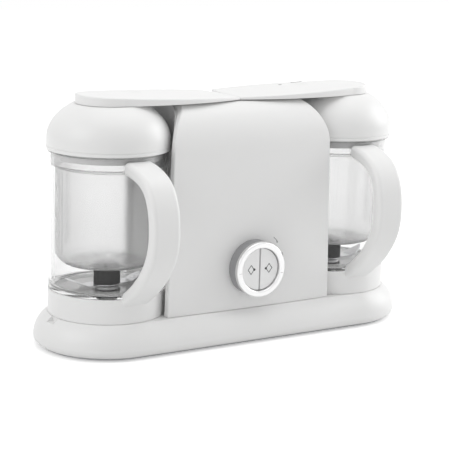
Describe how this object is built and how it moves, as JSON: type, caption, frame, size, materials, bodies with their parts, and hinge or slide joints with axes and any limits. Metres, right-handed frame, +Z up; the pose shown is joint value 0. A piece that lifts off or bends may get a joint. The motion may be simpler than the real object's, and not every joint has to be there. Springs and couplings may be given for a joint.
{
  "type": "baby food maker",
  "caption": "Countertop steamer and blender with clear handled bowls beside a central column, domed lids, swing arms and a ring control with push buttons.",
  "frame": {"origin": "centre of the footprint box at the underside of the rubber feet", "axes": "+X to the right seen from the front, +Y to the back, +Z up"},
  "size_m": [0.3896, 0.1759, 0.2355],
  "materials": {
    "white_plastic": "satin moulded white",
    "grey_plastic": "moulded, fine texture",
    "rubber": "matte",
    "zinc_steel": "plated",
    "brass_bush": "sintered",
    "aluminium": "cast",
    "board": "solder mask",
    "dark_sleeve": "satin dark grey",
    "satin_silver": "satin plated",
    "steel": "brushed stainless",
    "motor_steel": "zinc can",
    "belt_rubber": "matte",
    "clear_plastic": "clear, polished",
    "silicone": "soft, matte",
    "black_plastic": "satin black",
    "frosted_plastic": "frosted, see-through",
    "button_plastic": "satin light grey",
    "spring_steel": "drawn wire"
  },
  "bodies": {
    "frame": {"base_shell": "white_plastic", "front_cover": "white_plastic", "rear_housing": "white_plastic", "base_plate": "grey_plastic", "button_carrier": "grey_plastic", "switch_block": "grey_plastic", "rubber_feet": "rubber", "cord_gland": "rubber", "base_screws": "zinc_steel", "spindle_bearings": "brass_bush", "thermostats": "aluminium", "control_board": "board", "left_boiler_tank": "steel", "left_heater": "aluminium", "left_motor": "motor_steel", "left_drive_belt": "belt_rubber", "left_button_spring": "spring_steel", "right_boiler_tank": "steel", "right_heater": "aluminium", "right_motor": "motor_steel", "right_drive_belt": "belt_rubber", "right_button_spring": "spring_steel"},
    "knob": {"knob_sleeve": "dark_sleeve", "knob_bezel": "satin_silver"},
    "left_button": {"left_button": "button_plastic"},
    "left_spindle": {"left_drive_spindle": "zinc_steel"},
    "left_pulley": {"left_motor_pulley": "zinc_steel"},
    "left_bowl": {"left_bowl_holder": "white_plastic", "left_clear_bowl": "clear_plastic", "left_shaft_bush": "silicone"},
    "left_blade_set": {"left_blade_hub": "black_plastic", "left_blade_coupling": "black_plastic", "left_blade": "steel"},
    "left_basket": {"left_steam_basket": "frosted_plastic"},
    "left_lid": {"left_lid": "white_plastic", "left_lid_seal": "silicone", "left_pivot_pin": "zinc_steel"},
    "left_arm": {"left_arm_cover": "white_plastic", "left_arm_base": "grey_plastic", "left_tank_seal": "silicone"},
    "right_button": {"right_button": "button_plastic"},
    "right_spindle": {"right_drive_spindle": "zinc_steel"},
    "right_pulley": {"right_motor_pulley": "zinc_steel"},
    "right_bowl": {"right_bowl_holder": "white_plastic", "right_clear_bowl": "clear_plastic", "right_shaft_bush": "silicone"},
    "right_blade_set": {"right_blade_hub": "black_plastic", "right_blade_coupling": "black_plastic", "right_blade": "steel"},
    "right_basket": {"right_steam_basket": "frosted_plastic"},
    "right_lid": {"right_lid": "white_plastic", "right_lid_seal": "silicone", "right_pivot_pin": "zinc_steel"},
    "right_arm": {"right_arm_cover": "white_plastic", "right_arm_base": "grey_plastic", "right_tank_seal": "silicone"}
  },
  "joints": [
    {"name": "knob_turn", "type": "hinge", "parent": "frame", "child": "knob", "pos_m": [0, -0.03535, 0.0724], "axis": [0, -1, 0], "range_deg": [0, 45]},
    {"name": "left_button_press", "type": "slide", "parent": "frame", "child": "left_button", "axis": [0, 1, 0], "range_m": [0, 0.0025], "stiffness_N_per_m": 400, "deforming": ["left_button_spring"]},
    {"name": "left_spindle_turn", "type": "hinge", "parent": "frame", "child": "left_spindle", "pos_m": [-0.1263, 0.01925, 0.04], "axis": [0, 0, 1], "continuous": true},
    {"name": "left_pulley_turn", "type": "hinge", "parent": "frame", "child": "left_pulley", "pos_m": [-0.034, 0.01925, 0.02], "axis": [0, 0, 1], "continuous": true},
    {"name": "left_bowl_lift", "type": "slide", "parent": "frame", "child": "left_bowl", "axis": [0, 0, 1], "range_m": [0, 0.2]},
    {"name": "left_blade_turn", "type": "hinge", "parent": "left_bowl", "child": "left_blade_set", "pos_m": [-0.1263, 0.01925, 0.04], "axis": [0, 0, 1], "continuous": true},
    {"name": "left_basket_lift", "type": "slide", "parent": "left_bowl", "child": "left_basket", "axis": [0, 0, 1], "range_m": [0, 0.115]},
    {"name": "left_lid_lift", "type": "slide", "parent": "left_basket", "child": "left_lid", "axis": [0, 0, 1], "range_m": [0, 0.1]},
    {"name": "left_arm_swing", "type": "hinge", "parent": "left_lid", "child": "left_arm", "pos_m": [-0.1263, 0.01925, 0.228], "axis": [0, 0, -1], "range_deg": [0, 90]},
    {"name": "right_button_press", "type": "slide", "parent": "frame", "child": "right_button", "axis": [0, 1, 0], "range_m": [0, 0.0025], "stiffness_N_per_m": 400, "deforming": ["right_button_spring"]},
    {"name": "right_spindle_turn", "type": "hinge", "parent": "frame", "child": "right_spindle", "pos_m": [0.1263, 0.01925, 0.04], "axis": [0, 0, 1], "continuous": true},
    {"name": "right_pulley_turn", "type": "hinge", "parent": "frame", "child": "right_pulley", "pos_m": [0.034, 0.01925, 0.02], "axis": [0, 0, 1], "continuous": true},
    {"name": "right_bowl_lift", "type": "slide", "parent": "frame", "child": "right_bowl", "axis": [0, 0, 1], "range_m": [0, 0.2]},
    {"name": "right_blade_turn", "type": "hinge", "parent": "right_bowl", "child": "right_blade_set", "pos_m": [0.1263, 0.01925, 0.04], "axis": [0, 0, 1], "continuous": true},
    {"name": "right_basket_lift", "type": "slide", "parent": "right_bowl", "child": "right_basket", "axis": [0, 0, 1], "range_m": [0, 0.115]},
    {"name": "right_lid_lift", "type": "slide", "parent": "right_basket", "child": "right_lid", "axis": [0, 0, 1], "range_m": [0, 0.1]},
    {"name": "right_arm_swing", "type": "hinge", "parent": "right_lid", "child": "right_arm", "pos_m": [0.1263, 0.01925, 0.228], "axis": [0, 0, 1], "range_deg": [0, 90]}
  ],
  "couplings": [
    {"joint": "left_pulley_turn", "follows": "left_spindle_turn", "ratio": 2.1818},
    {"joint": "left_blade_turn", "follows": "left_spindle_turn", "ratio": 1},
    {"joint": "right_pulley_turn", "follows": "right_spindle_turn", "ratio": 2.1818},
    {"joint": "right_blade_turn", "follows": "right_spindle_turn", "ratio": 1}
  ]
}
